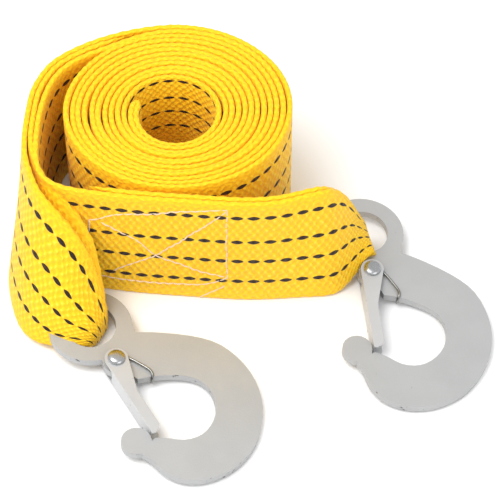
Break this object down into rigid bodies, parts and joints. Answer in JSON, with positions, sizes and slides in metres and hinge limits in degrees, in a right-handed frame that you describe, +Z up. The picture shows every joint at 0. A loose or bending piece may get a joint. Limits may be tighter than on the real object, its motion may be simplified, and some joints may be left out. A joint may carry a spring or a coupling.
{
  "type": "tow strap",
  "caption": "Flat woven tow strap wound double into a roll that stands on its edge, with a latched steel snap hook held in the loop at each end.",
  "frame": {"origin": "on the floor, under the middle of the bounding box of the roll and both hooks", "axes": "+Z up, along the roll's bore; +X to the right and +Y away from the viewer of the pictured side, with the hooks at -Y and +X"},
  "size_m": [0.1824, 0.1674, 0.06],
  "materials": {
    "webbing": "woven",
    "hook_steel": "satin zinc",
    "latch_steel": "satin zinc",
    "rivet_steel": "smooth zinc",
    "spring_wire": "drawn wire"
  },
  "bodies": {
    "strap": {"webbing": "webbing", "hook_left": "hook_steel", "hook_right": "hook_steel", "rivet_left": "rivet_steel", "rivet_right": "rivet_steel", "spring_left": "spring_wire", "spring_right": "spring_wire"},
    "latch_left": {"latch_left": "latch_steel"},
    "latch_right": {"latch_right": "latch_steel"}
  },
  "joints": [
    {"name": "latch_left_hinge", "type": "hinge", "parent": "strap", "child": "latch_left", "pos_m": [-0.04861, -0.03445, 0.00541], "axis": [0.0698, 0, 0.9976], "range_deg": [0, 32], "stiffness_Nm_per_rad": 0.06, "springref_deg": -34.38},
    {"name": "latch_right_hinge", "type": "hinge", "parent": "strap", "child": "latch_right", "pos_m": [0.04679, 0.00605, 0.00541], "axis": [0.0636, -0.0286, 0.9976], "range_deg": [0, 32], "stiffness_Nm_per_rad": 0.06, "springref_deg": -34.38}
  ]
}
